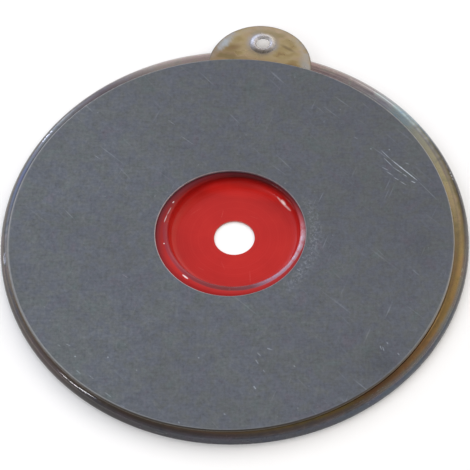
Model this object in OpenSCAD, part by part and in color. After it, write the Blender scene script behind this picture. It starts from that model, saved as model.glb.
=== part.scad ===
// Thin round lifting magnet: a flat ring-shaped holding face on a plated
// pressed shell, a red dish in the middle with a hole for an eyebolt, and a
// flat hanging tab at the edge.
// The eyebolt hole's axis is Z, the base plane is z = 0, the holding face
// looks up, and the hanging tab points along +Y.

/* [Shell] */
// Outer diameter of the shell
shell_d = 150; // [148:0.5:156]
// Sheet thickness of the shell
shell_t = 0.8; // [0.6:0.1:1]
// Outside radius of the rounded shoulder
shoulder_r = 3.6; // [3:0.1:3.8]
// Width of the flat edge rolled in under the back plate
crimp_w = 3; // [2:0.5:4]
// Overall height, base to holding face
height = 6.4; // [6.2:0.1:7.4]

/* [Face plate] */
// Outer diameter of the holding face
face_d = 142.4; // [139:0.2:143.4]
// Diameter of the opening in the holding face
face_bore_d = 48; // [46:0.5:49]
// Thickness of the face plate
face_t = 0.8; // [0.6:0.1:1]
// Bevel on the edge of the opening
face_bevel = 0.2; // [0.1:0.05:0.3]
// Radius of the rounded outer edge
face_edge_r = 0.6; // [0.3:0.05:0.7]
// Offset of the face plate from the axis, along X
face_shift_x = -0.85; // [-1.2:0.05:1.2]
// Offset of the face plate from the axis, along Y
face_shift_y = -2.3; // [-2.4:0.05:1]
// Offset of its opening from the axis, along X
bore_shift_x = -0.9; // [-1.2:0.05:1.2]
// Offset of its opening from the axis, along Y
bore_shift_y = -1.8; // [-2.4:0.05:1]

/* [Centre dish] */
// Inside diameter of the dish at its wall
dish_d = 42.4; // [40:0.2:43]
// Sheet thickness of the dish
dish_t = 0.6; // [0.4:0.1:0.8]
// Radius of the rounded lip, on the side that is seen
dish_lip_r = 1.2; // [1:0.1:1.3]
// Radius between the wall and the floor, on the side that is seen
dish_fillet_r = 3; // [2:0.1:3.2]
// Diameter of the dish's flange
dish_flange_d = 54; // [53.5:0.5:55]
// Diameter of the hole for the eyebolt
eyebolt_hole_d = 13; // [10:0.5:17]

/* [Hanging tab] */
// Radius of the tab's round end
tab_r = 17.4; // [14:0.1:19]
// Distance from the axis to the centre of the tab's round end
tab_centre = 67.2; // [66:0.1:69]
// Thickness of the tab
tab_t = 0.6; // [0.5:0.1:0.8]
// Distance from the axis to the hanging hole
tab_hole_at = 76.7; // [76:0.1:78.5]
// Clear diameter of the hanging hole, inside the eyelet
eyelet_bore_d = 4.7; // [4:0.1:5]
// Diameter of the eyelet's upper flange
eyelet_flange_d = 9.3; // [8:0.1:10]

/* [Magnet ring] */
// Outer diameter of the ring of magnets
magnet_outer_d = 116.8; // [112:0.2:117]
// Inner diameter of the ring of magnets
magnet_inner_d = 62; // [61.8:0.2:70]
// Gap between neighbouring magnets
magnet_gap = 0.8; // [0.4:0.1:1.5]

/* [Back] */
// Thickness of the back plate
back_t = 1.2; // [1:0.1:1.4]
// Shank diameter of the rivets
rivet_d = 3; // [2.5:0.1:3.4]
// Number of rivets in the inner pole ring
rivets_inner = 6; // [4:1:8]
// Number of rivets in the outer pole ring
rivets_outer = 8; // [6:1:16]

/* [Hidden] */
$fn = 128;

magnet_n = 12;
step = 360 / magnet_n;

// levels
z_under = height - face_t;          // underside of the face plate
z_ledge = z_under - tab_t;          // top of the shell's ledge
z_back = shell_t;                   // underside of the back plate
z_yoke = z_back + back_t;           // top of the back plate
z_flange = z_under - dish_t;        // underside of the dish's flange

// radii, from the middle outwards
dish_r = dish_d / 2;
fil_r = min(dish_fillet_r, z_under - dish_t - dish_lip_r - 0.2);
flat_r = dish_r - fil_r;
lip_c = dish_r + dish_lip_r;
back_bore_r = dish_r + dish_t + 0.2;
inner_ring_r = lip_c + 0.2;
rebate_r = dish_flange_d / 2 + 0.2;
ring_gap = 0.6;                     // resin gap beside the pole rings
inner_ring_out = magnet_inner_d / 2 - ring_gap;
outer_ring_in = magnet_outer_d / 2 + ring_gap;
ledge_in = outer_ring_in + 4;
shell_r = shell_d / 2;
bend_r = shell_t + 0.2;             // outside radius of the bottom bend
sh_r = min(shoulder_r, z_ledge - bend_r - 0.1);
shoulder_c = shell_r - sh_r;
outer_ring_out = shoulder_c - 0.6;
face_r = face_d / 2;
edge_r = min(face_edge_r, face_t - 0.1);

// rivets
rivet_len = min(3, z_ledge - 2 * shell_t - 0.3);
rivet_head_r = rivet_d * 0.9;
rivet_head_h = 0.9;
rivet_in_r = (inner_ring_r + inner_ring_out) / 2;
rivet_out_r = (ledge_in + outer_ring_out) / 2;

// quarter of a round bend, seen in section: centre (r, z), outside radius ro,
// inside radius ri, in the quadrant given by the signs sr and sz
module bend(r, z, ro, ri, sr, sz) {
    translate([r, z]) intersection() {
        difference() {
            circle(r = ro);
            if (ri > 0.01) circle(r = ri);
        }
        translate([sr > 0 ? 0 : -ro, sz > 0 ? 0 : -ro]) square(ro);
    }
}

// rectangle in section, from (r0, z0) to (r1, z1)
module bar(r0, z0, r1, z1) {
    translate([r0, z0]) square([r1 - r0, z1 - z0]);
}

// low round swelling in section, between r0 and r1, h high, on the level z,
// standing up for s = 1 and down for s = -1
module swell(r0, r1, z, h, s) {
    c = (r1 - r0) / 2;
    ro = (c * c + h * h) / (2 * h);
    intersection() {
        translate([(r0 + r1) / 2, z + s * (h - ro)]) circle(r = ro);
        translate([r0, s > 0 ? z : z - h]) square([r1 - r0, h]);
    }
}

module rivet_hole() {
    translate([0, 0, z_back]) cylinder(r = rivet_d / 2, h = rivet_len);
}

module rivet_sink() {
    translate([0, 0, z_back])
        cylinder(r1 = rivet_head_r, r2 = rivet_d / 2, h = rivet_head_h);
}

module around(n, r) {
    for (i = [0 : n - 1]) rotate(i * 360 / n + 180 / n) translate([r, 0, 0]) children();
}

// Flat ring that touches the load, with a bevelled opening and a rounded
// outer edge
module face_plate() {
    color([0.40, 0.42, 0.44])
    difference() {
        translate([face_shift_x, face_shift_y, 0]) rotate_extrude() {
            bar(0, z_under, face_r - edge_r, height);
            bar(face_r - edge_r, z_under, face_r, height - edge_r);
            bend(face_r - edge_r, height - edge_r, edge_r, 0, 1, 1);
        }
        translate([bore_shift_x, bore_shift_y, 0]) rotate_extrude() polygon([
            [0, z_under - 1],
            [face_bore_d / 2, z_under - 1],
            [face_bore_d / 2, height - face_bevel],
            [face_bore_d / 2 + face_bevel, height],
            [face_bore_d / 2 + face_bevel, height + 1],
            [0, height + 1]]);
    }
}

// Adhesive between the face plate and the shell's ledge, cut round the tab
module bond_ring() {
    color([0.16, 0.15, 0.14])
    translate([0, 0, z_ledge]) linear_extrude(tab_t) difference() {
        translate([face_shift_x, face_shift_y]) circle(r = face_r - 1.5);
        circle(r = ledge_in + 0.3);
        translate([0, tab_centre]) circle(r = tab_r + 0.2);
    }
}

// Plated shell: flat ledge, rounded shoulder, low wall, and an edge rolled in
// under the back plate
module rim_shell() {
    color([0.62, 0.53, 0.34])
    rotate_extrude() {
        bar(ledge_in, z_ledge - shell_t, shoulder_c, z_ledge);
        bend(shoulder_c, z_ledge - sh_r, sh_r, sh_r - shell_t, 1, 1);
        bar(shell_r - shell_t, bend_r, shell_r, z_ledge - sh_r);
        bend(shell_r - bend_r, bend_r, bend_r, bend_r - shell_t, 1, -1);
        bar(shell_r - bend_r - crimp_w, 0, shell_r - bend_r, shell_t);
    }
}

// Hanging tab: flat, with a half-round edge, welded to the ledge
module hang_tab() {
    color([0.66, 0.58, 0.38])
    difference() {
        translate([0, tab_centre, z_ledge]) rotate_extrude() {
            bar(0, 0, tab_r - tab_t / 2, tab_t);
            intersection() {
                translate([tab_r - tab_t / 2, tab_t / 2]) circle(r = tab_t / 2);
                bar(tab_r - tab_t / 2, 0, tab_r, tab_t);
            }
        }
        translate([0, 0, z_ledge - 1]) cylinder(r = ledge_in + 0.3, h = tab_t + 2);
        translate([0, tab_hole_at, z_ledge - 1])
            cylinder(r = eyelet_bore_d / 2 + 0.6, h = tab_t + 2);
    }
}

// Eyelet that lines the hanging hole: round flange above, clench below
module tab_eyelet() {
    color([0.80, 0.80, 0.83])
    translate([0, tab_hole_at, 0]) rotate_extrude() {
        bar(eyelet_bore_d / 2, z_ledge, eyelet_bore_d / 2 + 0.5, z_under);
        swell(eyelet_bore_d / 2, eyelet_flange_d / 2, z_under, 0.5, 1);
        swell(eyelet_bore_d / 2, eyelet_bore_d / 2 + 1.55, z_ledge, 0.4, -1);
    }
}

// Red pressed dish: flange under the face plate, rounded lip, wall, floor
module centre_dish() {
    color([0.72, 0.13, 0.12])
    rotate_extrude() {
        bar(eyebolt_hole_d / 2, 0, flat_r, dish_t);
        bend(flat_r, dish_t + fil_r, fil_r + dish_t, fil_r, 1, -1);
        bar(dish_r, dish_t + fil_r, dish_r + dish_t, z_under - dish_lip_r);
        bend(lip_c, z_under - dish_lip_r, dish_lip_r, dish_lip_r - dish_t, -1, 1);
        bar(lip_c, z_flange, dish_flange_d / 2, z_under);
    }
}

// Steel ring inside the magnets, with a rebate for the dish's flange
module inner_pole_ring() {
    color([0.50, 0.50, 0.50])
    difference() {
        rotate_extrude() polygon([
            [inner_ring_r, z_yoke],
            [inner_ring_out, z_yoke],
            [inner_ring_out, z_under],
            [rebate_r, z_under],
            [rebate_r, z_flange],
            [inner_ring_r, z_flange]]);
        around(rivets_inner, rivet_in_r) rivet_hole();
    }
}

// Steel ring outside the magnets, with a rebate for the shell's ledge
module outer_pole_ring() {
    color([0.50, 0.50, 0.50])
    difference() {
        rotate_extrude() polygon([
            [outer_ring_in, z_yoke],
            [outer_ring_out, z_yoke],
            [outer_ring_out, z_ledge - shell_t],
            [ledge_in - 0.2, z_ledge - shell_t],
            [ledge_in - 0.2, z_under],
            [outer_ring_in, z_under]]);
        around(rivets_outer, rivet_out_r) rivet_hole();
    }
}

// outline of one magnet, turned to its place in the ring
module magnet_outline(i) {
    rotate((i + 0.5) * step) difference() {
        circle(r = magnet_outer_d / 2);
        circle(r = magnet_inner_d / 2);
        // everything beyond the middle of the gap on either side
        for (s = [-1, 1]) rotate(s * step / 2)
            translate([-80, s > 0 ? -magnet_gap / 2 : magnet_gap / 2 - 160])
                square([160, 160]);
    }
}

module magnet(i) {
    color([0.20, 0.20, 0.21])
    translate([0, 0, z_yoke]) linear_extrude(z_under - z_yoke) magnet_outline(i);
}

// Resin that fills the gaps round the magnets
module potting() {
    color([0.12, 0.12, 0.12])
    translate([0, 0, z_yoke]) linear_extrude(z_under - z_yoke) difference() {
        circle(r = outer_ring_in);
        circle(r = inner_ring_out);
        for (i = [0 : magnet_n - 1]) magnet_outline(i);
    }
}

// Steel yoke behind the magnets
module back_plate() {
    color([0.60, 0.55, 0.40])
    difference() {
        translate([0, 0, z_back]) cylinder(r = shell_r - bend_r - 0.2, h = back_t);
        translate([0, 0, z_back - 1]) cylinder(r = back_bore_r, h = back_t + 2);
        around(rivets_inner, rivet_in_r) { rivet_hole(); rivet_sink(); }
        around(rivets_outer, rivet_out_r) { rivet_hole(); rivet_sink(); }
    }
}

// Countersunk rivets from the back plate into both pole rings
module back_rivets() {
    color([0.72, 0.72, 0.70]) {
        around(rivets_inner, rivet_in_r) { rivet_hole(); rivet_sink(); }
        around(rivets_outer, rivet_out_r) { rivet_hole(); rivet_sink(); }
    }
}

face_plate();
bond_ring();
rim_shell();
hang_tab();
tab_eyelet();
centre_dish();
inner_pole_ring();
outer_pole_ring();
magnet(0);  // magnet_01
magnet(1);  // magnet_02
magnet(2);  // magnet_03
magnet(3);  // magnet_04
magnet(4);  // magnet_05
magnet(5);  // magnet_06
magnet(6);  // magnet_07
magnet(7);  // magnet_08
magnet(8);  // magnet_09
magnet(9);  // magnet_10
magnet(10);  // magnet_11
magnet(11);  // magnet_12
potting();
back_plate();
back_rivets();
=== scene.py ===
"""Looks of the thin round lifting magnet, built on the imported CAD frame."""
import math

import bpy
import numpy as np
from mathutils import Matrix, Vector


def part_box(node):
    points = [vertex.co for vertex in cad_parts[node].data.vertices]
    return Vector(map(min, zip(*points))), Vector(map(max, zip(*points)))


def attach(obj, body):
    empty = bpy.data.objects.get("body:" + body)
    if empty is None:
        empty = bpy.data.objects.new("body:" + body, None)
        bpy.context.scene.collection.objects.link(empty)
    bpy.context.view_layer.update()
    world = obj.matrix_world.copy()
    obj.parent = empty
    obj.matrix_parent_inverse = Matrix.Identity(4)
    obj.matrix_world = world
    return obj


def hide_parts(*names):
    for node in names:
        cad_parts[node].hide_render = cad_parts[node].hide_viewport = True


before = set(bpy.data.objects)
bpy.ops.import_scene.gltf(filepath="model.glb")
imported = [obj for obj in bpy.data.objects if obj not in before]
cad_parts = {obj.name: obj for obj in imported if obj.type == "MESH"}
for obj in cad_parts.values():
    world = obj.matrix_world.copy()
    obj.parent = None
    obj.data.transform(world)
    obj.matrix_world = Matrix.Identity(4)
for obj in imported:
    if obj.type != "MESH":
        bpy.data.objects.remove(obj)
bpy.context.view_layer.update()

MM = 0.001
TAU = 2 * math.pi
scene = bpy.context.scene
scene.view_settings.view_transform = "Standard"
scene.view_settings.look = "None"
scene.view_settings.exposure = 0.0
scene.view_settings.gamma = 1.0

# ---------------------------------------------------------------- camera
cam_data = bpy.data.cameras.new("camera")
cam_data.sensor_fit = "HORIZONTAL"
cam_data.sensor_width = 36.0
cam_data.lens = 156.52
cam_data.clip_start = 0.01
cam_data.clip_end = 20.0
cam = bpy.data.objects.new("camera", cam_data)
scene.collection.objects.link(cam)
right = Vector((0.991445, 0.128468, -0.023076)).normalized()
up = Vector((-0.093898, 0.824808, 0.557562))
up = (up - right * up.dot(right)).normalized()
back = right.cross(up)
m = Matrix.Identity(4)
for col, v in enumerate((right, up, back)):
    for row in range(3):
        m[row][col] = v[row]
m.translation = Vector((0.059629, -0.360687, 0.545777))
cam.matrix_world = m
scene.camera = cam


# ---------------------------------------------------------------- node helpers
class Nodes:
    """Short forms for building one material's node tree."""

    def __init__(self, name):
        self.mat = bpy.data.materials.new(name)
        self.mat.use_nodes = True
        self.nt = self.mat.node_tree
        self.nt.nodes.clear()
        self.out = self.nt.nodes.new("ShaderNodeOutputMaterial")
        self.bsdf = self.nt.nodes.new("ShaderNodeBsdfPrincipled")
        self.nt.links.new(self.bsdf.outputs[0], self.out.inputs["Surface"])
        self._obj = None

    def put(self, socket, value):
        if isinstance(value, bpy.types.NodeSocket):
            self.nt.links.new(value, socket)
        elif isinstance(value, (tuple, list, Vector)):
            v = tuple(value)
            if len(socket.default_value) == 4 and len(v) == 3:
                v = v + (1.0,)
            socket.default_value = v
        else:
            socket.default_value = value

    def add(self, kind, **inputs):
        n = self.nt.nodes.new(kind)
        for k, v in inputs.items():
            self.put(n.inputs[k], v)
        return n

    def xyz(self):
        """Object coordinates in millimetres."""
        if self._obj is None:
            tc = self.nt.nodes.new("ShaderNodeTexCoord")
            self._obj = self.vec("SCALE", tc.outputs["Object"], scale=1000.0)
        return self._obj

    def parts(self, v=None):
        n = self.nt.nodes.new("ShaderNodeSeparateXYZ")
        self.put(n.inputs[0], v if v is not None else self.xyz())
        return n.outputs[0], n.outputs[1], n.outputs[2]

    def join(self, x, y, z):
        n = self.nt.nodes.new("ShaderNodeCombineXYZ")
        for i, v in enumerate((x, y, z)):
            self.put(n.inputs[i], v)
        return n.outputs[0]

    def vec(self, op, a, b=None, scale=None):
        n = self.nt.nodes.new("ShaderNodeVectorMath")
        n.operation = op
        self.put(n.inputs[0], a)
        if b is not None:
            self.put(n.inputs[1], b)
        if scale is not None:
            self.put(n.inputs["Scale"], scale)
        return n.outputs["Value"] if op in ("LENGTH", "DOT_PRODUCT", "DISTANCE") else n.outputs["Vector"]

    def math(self, op, a, b=None, c=None, clamp=False):
        n = self.nt.nodes.new("ShaderNodeMath")
        n.operation = op
        n.use_clamp = clamp
        self.put(n.inputs[0], a)
        if b is not None:
            self.put(n.inputs[1], b)
        if c is not None:
            self.put(n.inputs[2], c)
        return n.outputs[0]

    def remap(self, v, a, b, c=0.0, d=1.0, smooth=False):
        n = self.nt.nodes.new("ShaderNodeMapRange")
        n.interpolation_type = "SMOOTHSTEP" if smooth else "LINEAR"
        n.clamp = True
        for k, x in zip(("Value", "From Min", "From Max", "To Min", "To Max"), (v, a, b, c, d)):
            self.put(n.inputs[k], x)
        return n.outputs[0]

    def noise(self, v=None, scale=1.0, detail=2.0, rough=0.5, distort=0.0, colour=False):
        n = self.nt.nodes.new("ShaderNodeTexNoise")
        self.put(n.inputs["Vector"], v if v is not None else self.xyz())
        n.inputs["Scale"].default_value = scale
        n.inputs["Detail"].default_value = detail
        n.inputs["Roughness"].default_value = rough
        n.inputs["Distortion"].default_value = distort
        return n.outputs["Color"] if colour else n.outputs[0]

    def voronoi(self, v=None, scale=1.0, feature="F1", randomness=1.0, out="Distance"):
        n = self.nt.nodes.new("ShaderNodeTexVoronoi")
        n.feature = feature
        self.put(n.inputs["Vector"], v if v is not None else self.xyz())
        n.inputs["Scale"].default_value = scale
        n.inputs["Randomness"].default_value = randomness
        return n.outputs[out]

    def ramp(self, v, stops, mode="LINEAR"):
        n = self.nt.nodes.new("ShaderNodeValToRGB")
        n.color_ramp.interpolation = mode
        el = n.color_ramp.elements
        while len(el) > 1:
            el.remove(el[-1])
        for i, (p, c) in enumerate(stops):
            e = el[0] if i == 0 else el.new(p)
            e.position = p
            e.color = tuple(c) + (1.0,) if len(c) == 3 else c
        self.put(n.inputs[0], v)
        return n.outputs[0]

    def mix(self, f, a, b, mode="MIX"):
        n = self.nt.nodes.new("ShaderNodeMix")
        n.data_type = "RGBA"
        n.blend_type = mode
        n.clamp_factor = True
        self.put(n.inputs[0], f)
        self.put(n.inputs[6], a)
        self.put(n.inputs[7], b)
        return n.outputs[2]

    def turned(self, degrees, stretch=(1.0, 1.0, 1.0), v=None):
        """Coordinates turned about Z, then stretched, for grain that runs one way."""
        n = self.nt.nodes.new("ShaderNodeMapping")
        n.vector_type = "TEXTURE"
        self.put(n.inputs["Vector"], v if v is not None else self.xyz())
        n.inputs["Rotation"].default_value = (0.0, 0.0, math.radians(degrees))
        n.inputs["Scale"].default_value = stretch
        return n.outputs[0]

    def bump(self, height, distance, strength=1.0, normal=None):
        """distance is the height in millimetres that a value of 1 stands for."""
        n = self.nt.nodes.new("ShaderNodeBump")
        n.inputs["Strength"].default_value = strength
        n.inputs["Distance"].default_value = distance * MM
        self.put(n.inputs["Height"], height)
        if normal is not None:
            self.put(n.inputs["Normal"], normal)
        return n.outputs[0]

    def finish(self, **sockets):
        for k, v in sockets.items():
            self.put(self.bsdf.inputs[k.replace("_", " ")], v)
        return self.mat


def segment_group():
    """Node group: 1 on the line from A along AB, fading to 0 at half width W, thinner and fainter at both ends."""
    g = bpy.data.node_groups.new("scratch_line", "ShaderNodeTree")
    for nm, kind in (("P", "NodeSocketVector"), ("A", "NodeSocketVector"), ("AB", "NodeSocketVector"), ("Inv", "NodeSocketFloat"), ("W", "NodeSocketFloat"), ("S", "NodeSocketFloat")):
        g.interface.new_socket(name=nm, in_out="INPUT", socket_type=kind)
    g.interface.new_socket(name="Line", in_out="OUTPUT", socket_type="NodeSocketFloat")
    gi = g.nodes.new("NodeGroupInput")
    go = g.nodes.new("NodeGroupOutput")

    def vm(op, a, b=None, scale=None):
        n = g.nodes.new("ShaderNodeVectorMath")
        n.operation = op
        g.links.new(a, n.inputs[0])
        if b is not None:
            g.links.new(b, n.inputs[1])
        if scale is not None:
            g.links.new(scale, n.inputs["Scale"])
        return n.outputs["Value"] if op in ("LENGTH", "DOT_PRODUCT") else n.outputs["Vector"]

    def mm(op, a, b, clamp=False):
        n = g.nodes.new("ShaderNodeMath")
        n.operation = op
        n.use_clamp = clamp
        for i, v in enumerate((a, b)):
            if isinstance(v, float):
                n.inputs[i].default_value = v
            else:
                g.links.new(v, n.inputs[i])
        return n.outputs[0]

    pa = vm("SUBTRACT", gi.outputs["P"], gi.outputs["A"])
    h = mm("MULTIPLY", vm("DOT_PRODUCT", pa, gi.outputs["AB"]), gi.outputs["Inv"], clamp=True)
    foot = vm("SCALE", gi.outputs["AB"], scale=h)
    d = vm("LENGTH", vm("SUBTRACT", pa, foot))
    # taper: 4h(1-h) to the power 0.3
    t = mm("POWER", mm("MAXIMUM", mm("MULTIPLY", mm("MULTIPLY", h, mm("SUBTRACT", 1.0, h)), 4.0), 0.02), 0.3)
    w = mm("MULTIPLY", gi.outputs["W"], t)
    r = g.nodes.new("ShaderNodeMapRange")
    r.interpolation_type = "SMOOTHSTEP"
    g.links.new(d, r.inputs["Value"])
    r.inputs["From Min"].default_value = 0.0
    g.links.new(w, r.inputs["From Max"])
    r.inputs["To Min"].default_value = 1.0
    r.inputs["To Max"].default_value = 0.0
    g.links.new(mm("MULTIPLY", mm("MULTIPLY", r.outputs[0], gi.outputs["S"]), t), go.inputs["Line"])
    return g


SEGMENT = segment_group()


def lines(N, segs, v):
    """The strongest of a list of scratches (x0, y0, x1, y1, half width, strength), in millimetres."""
    total = None
    for x0, y0, x1, y1, w, s in segs:
        n = N.nt.nodes.new("ShaderNodeGroup")
        n.node_tree = SEGMENT
        # each line waits for the one before, so the shader keeps few values at a time
        q = v
        if total is not None:
            k = N.math("MULTIPLY", total, 1e-5)
            q = N.vec("ADD", v, N.join(k, 0.0, 0.0))
        N.put(n.inputs["P"], q)
        n.inputs["A"].default_value = (x0, y0, 0.0)
        n.inputs["AB"].default_value = (x1 - x0, y1 - y0, 0.0)
        n.inputs["Inv"].default_value = 1.0 / max(1e-6, (x1 - x0) ** 2 + (y1 - y0) ** 2)
        n.inputs["W"].default_value = w
        n.inputs["S"].default_value = s
        total = n.outputs[0] if total is None else N.math("MAXIMUM", total, n.outputs[0])
    return total


# ---------------------------------------------------------------- mesh helpers
def new_object(name, verts, faces, sharp=None):
    me = bpy.data.meshes.new(name)
    me.from_pydata([tuple(v) for v in verts], [], faces)
    me.validate()
    me.update()
    for p in me.polygons:
        p.use_smooth = True
    if sharp is not None:
        me.set_sharp_from_angle(angle=math.radians(sharp))
    ob = bpy.data.objects.new(name, me)
    scene.collection.objects.link(ob)
    return ob


def arc(cx, cz, r, a0, a1, n):
    """Points on a circle in section, from angle a0 to a1 in degrees, both ends included."""
    return [(cx + r * math.cos(math.radians(a0 + (a1 - a0) * i / n)), cz + r * math.sin(math.radians(a0 + (a1 - a0) * i / n))) for i in range(n + 1)]


def line(p, q, n):
    return [(p[0] + (q[0] - p[0]) * i / n, p[1] + (q[1] - p[1]) * i / n) for i in range(n + 1)]


def chain(*runs):
    pts = []
    for run in runs:
        for p in run:
            if not pts or math.hypot(p[0] - pts[-1][0], p[1] - pts[-1][1]) > 1e-6:
                pts.append(p)
    if math.hypot(pts[0][0] - pts[-1][0], pts[0][1] - pts[-1][1]) < 1e-6:
        pts.pop()
    return pts


def lathe(name, profile, segs, centre=(0.0, 0.0), move=None, sharp=35.0):
    """A closed ring from a closed section of (r, z) points in mm, counter-clockwise in the (r, z) plane.
    move(x, y, z, r, a, i) gives a small shift of each point, in mm."""
    n = len(profile)
    verts = []
    for s in range(segs):
        a = TAU * s / segs
        c, sn = math.cos(a), math.sin(a)
        for i, (r, z) in enumerate(profile):
            x, y = centre[0] + r * c, centre[1] + r * sn
            if move is not None:
                dx, dy, dz = move(x, y, z, r, a, i)
                x, y, z = x + dx, y + dy, z + dz
            verts.append((x * MM, y * MM, z * MM))
    faces = []
    for s in range(segs):
        t = (s + 1) % segs
        for i in range(n):
            j = (i + 1) % n
            faces.append((s * n + i, t * n + i, t * n + j, s * n + j))
    return new_object(name, verts, faces, sharp)


def waves(seed, terms, lo, hi):
    """A smooth repeating function of an angle, about -1 to 1."""
    rng = np.random.RandomState(seed)
    k = rng.randint(lo, hi, terms)
    ph = rng.uniform(0, TAU, terms)
    am = rng.uniform(0.5, 1.0, terms)
    am = am / am.sum() * 1.6

    def f(a):
        return float(sum(q * math.cos(kk * a + p) for q, kk, p in zip(am, k, ph)))

    return f


def plane_waves(seed, terms, lo, hi):
    """A smooth function of x and y in mm, about -1 to 1, with waves lo to hi mm long."""
    rng = np.random.RandomState(seed)
    ang = rng.uniform(0, TAU, terms)
    k = TAU / rng.uniform(lo, hi, terms)
    ph = rng.uniform(0, TAU, terms)
    am = rng.uniform(0.5, 1.0, terms)
    am = am / am.sum() * 1.6

    def f(x, y):
        return float(np.sum(am * np.cos(k * (x * np.cos(ang) + y * np.sin(ang)) + ph)))

    return f


def smooth(x, a, b):
    t = min(1.0, max(0.0, (x - a) / (b - a)))
    return t * t * (3 - 2 * t)


# ---------------------------------------------------------------- sizes, from the CAD nodes
def mm_box(node):
    lo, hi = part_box(node)
    return [v * 1000 for v in lo], [v * 1000 for v in hi]


f_lo, f_hi = mm_box("face_plate")
FACE_C = ((f_lo[0] + f_hi[0]) / 2, (f_lo[1] + f_hi[1]) / 2)
FACE_R = (f_hi[0] - f_lo[0]) / 2
FACE_Z0, FACE_Z1 = f_lo[2], f_hi[2]
FACE_BORE = 24.0
BORE_C = (-0.9, -1.8)
s_lo, s_hi = mm_box("rim_shell")
SHELL_R = s_hi[0]
LEDGE_Z = s_hi[2]
t_lo, t_hi = mm_box("hang_tab")
TAB_R = (t_hi[0] - t_lo[0]) / 2
TAB_C = t_hi[1] - TAB_R
TAB_Z0, TAB_Z1 = t_lo[2], t_hi[2]
e_lo, e_hi = mm_box("tab_eyelet")
EYE_C = (e_lo[1] + e_hi[1]) / 2
EYE_R = (e_hi[0] - e_lo[0]) / 2
EYE_BORE = 2.35
EYE_Z0, EYE_Z1 = e_lo[2], e_hi[2]
d_lo, d_hi = mm_box("centre_dish")
DISH_FLANGE = d_hi[0]
DISH_Z1 = d_hi[2]
T_SHELL, T_DISH = 0.8, 0.6

# ---------------------------------------------------------------- face plate
FW = plane_waves(11, 9, 28.0, 90.0)
FW2 = plane_waves(12, 12, 9.0, 22.0)


def face_section():
    r0, r1, z0, z1 = FACE_BORE, FACE_R, FACE_Z0, FACE_Z1
    b, e = 0.22, 0.6
    return chain(
        line((r0 + 0.06, z0), (r1 - 0.06, z0), 3),
        arc(r1 - 0.06, z0 + 0.06, 0.06, -90, 0, 3),
        line((r1, z0 + 0.06), (r1, z1 - e), 1),
        arc(r1 - e, z1 - e, e, 0, 90, 16),
        line((r1 - e, z1), (r1 - e - 1.0, z1), 2),
        line((r1 - e - 1.0, z1), (r0 + 1.2, z1), 44),
        line((r0 + 1.2, z1), (r0 + b, z1), 2),
        arc(r0 + b, z1 - b, b, 90, 180, 8),
        line((r0, z1 - b), (r0, z0 + 0.06), 2),
        arc(r0 + 0.06, z0 + 0.06, 0.06, 180, 270, 3),
    )


def face_move(x, y, z, r, a, i):
    top = smooth(z, FACE_Z0 + 0.2, FACE_Z1)
    # the opening sits a little off the middle of the ring
    k = 1.0 - smooth(r, 24.6, 36.0)
    # never above the holding plane
    return (k * (BORE_C[0] - FACE_C[0]), k * (BORE_C[1] - FACE_C[1]), -top * (0.010 * (1 + FW(x, y)) + 0.003 * (1 + FW2(x, y))))


face = lathe("face_plate_skin", face_section(), 420, FACE_C, face_move, sharp=50.0)

# ---------------------------------------------------------------- shell
SW = waves(3, 8, 2, 11)
SW2 = waves(4, 10, 14, 60)
SW3 = waves(5, 9, 3, 17)


def shell_section():
    R, t = SHELL_R, T_SHELL
    sh, bd = 3.6, 1.0
    cx = R - sh
    cz = LEDGE_Z - sh
    inner = 63.0
    return chain(
        line((R - bd - 3.0 + 0.15, 0), (R - bd, 0), 3),
        arc(R - bd, bd, bd, -90, 0, 10),
        line((R, bd), (R, cz), 2),
        arc(cx, cz, sh, 0, 90, 30),
        line((cx, LEDGE_Z), (inner, LEDGE_Z), 8),
        line((inner, LEDGE_Z), (inner, LEDGE_Z - t), 1),
        line((inner, LEDGE_Z - t), (cx, LEDGE_Z - t), 2),
        arc(cx, cz, sh - t, 90, 0, 12),
        line((R - t, cz), (R - t, bd), 1),
        arc(R - bd, bd, bd - t, 0, -90, 4),
        line((R - bd, t), (R - bd - 3.0 + 0.15, t), 2),
        arc(R - bd - 3.0 + 0.15, t / 2, t / 2, 90, 270, 6),
    )


def shell_move(x, y, z, r, a, i):
    # only the outer skin of the shoulder and the wall, and never outwards past the true size
    k = smooth(r, 70.0, 72.0) * (1.0 if r > SHELL_R - 3.7 else 0.0)
    d = -k * (0.014 * (1 + SW(a)) + 0.004 * (1 + SW2(a)))
    nr = 1.0 if z < 1.4 else max(0.0, (r - (SHELL_R - 3.6)) / 3.6)
    nz = 0.0 if z < 1.4 else max(0.0, (z - 1.4) / 3.6)
    return (d * nr * math.cos(a), d * nr * math.sin(a), d * nz)


shell = lathe("rim_shell_skin", shell_section(), 640, (0.0, 0.0), shell_move, sharp=50.0)

# ---------------------------------------------------------------- dish
DW = waves(7, 6, 2, 7)
DW2 = plane_waves(8, 8, 7.0, 20.0)


def dish_section():
    t, w, lip, fil = T_DISH, 21.2, 1.2, 3.0
    flat = w - fil
    lc = w + lip
    z1 = DISH_Z1
    hole = 6.5
    e = 0.14
    return chain(
        line((hole + e, 0), (flat, 0), 6),
        arc(flat, t + fil, fil + t, -90, 0, 16),
        line((w + t, t + fil), (w + t, z1 - lip), 1),
        arc(lc, z1 - lip, lip - t, 180, 90, 6),
        line((lc, z1 - t), (DISH_FLANGE, z1 - t), 3),
        line((DISH_FLANGE, z1 - t), (DISH_FLANGE, z1), 1),
        line((DISH_FLANGE, z1), (lc, z1), 28),
        arc(lc, z1 - lip, lip, 90, 180, 20),
        line((w, z1 - lip), (w, t + fil), 2),
        arc(flat, t + fil, fil, 0, -90, 26),
        line((flat, t), (hole + e, t), 16),
        arc(hole + e, t - e, e, 90, 180, 5),
        arc(hole + e, e, e, 180, 270, 5),
    )


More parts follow.
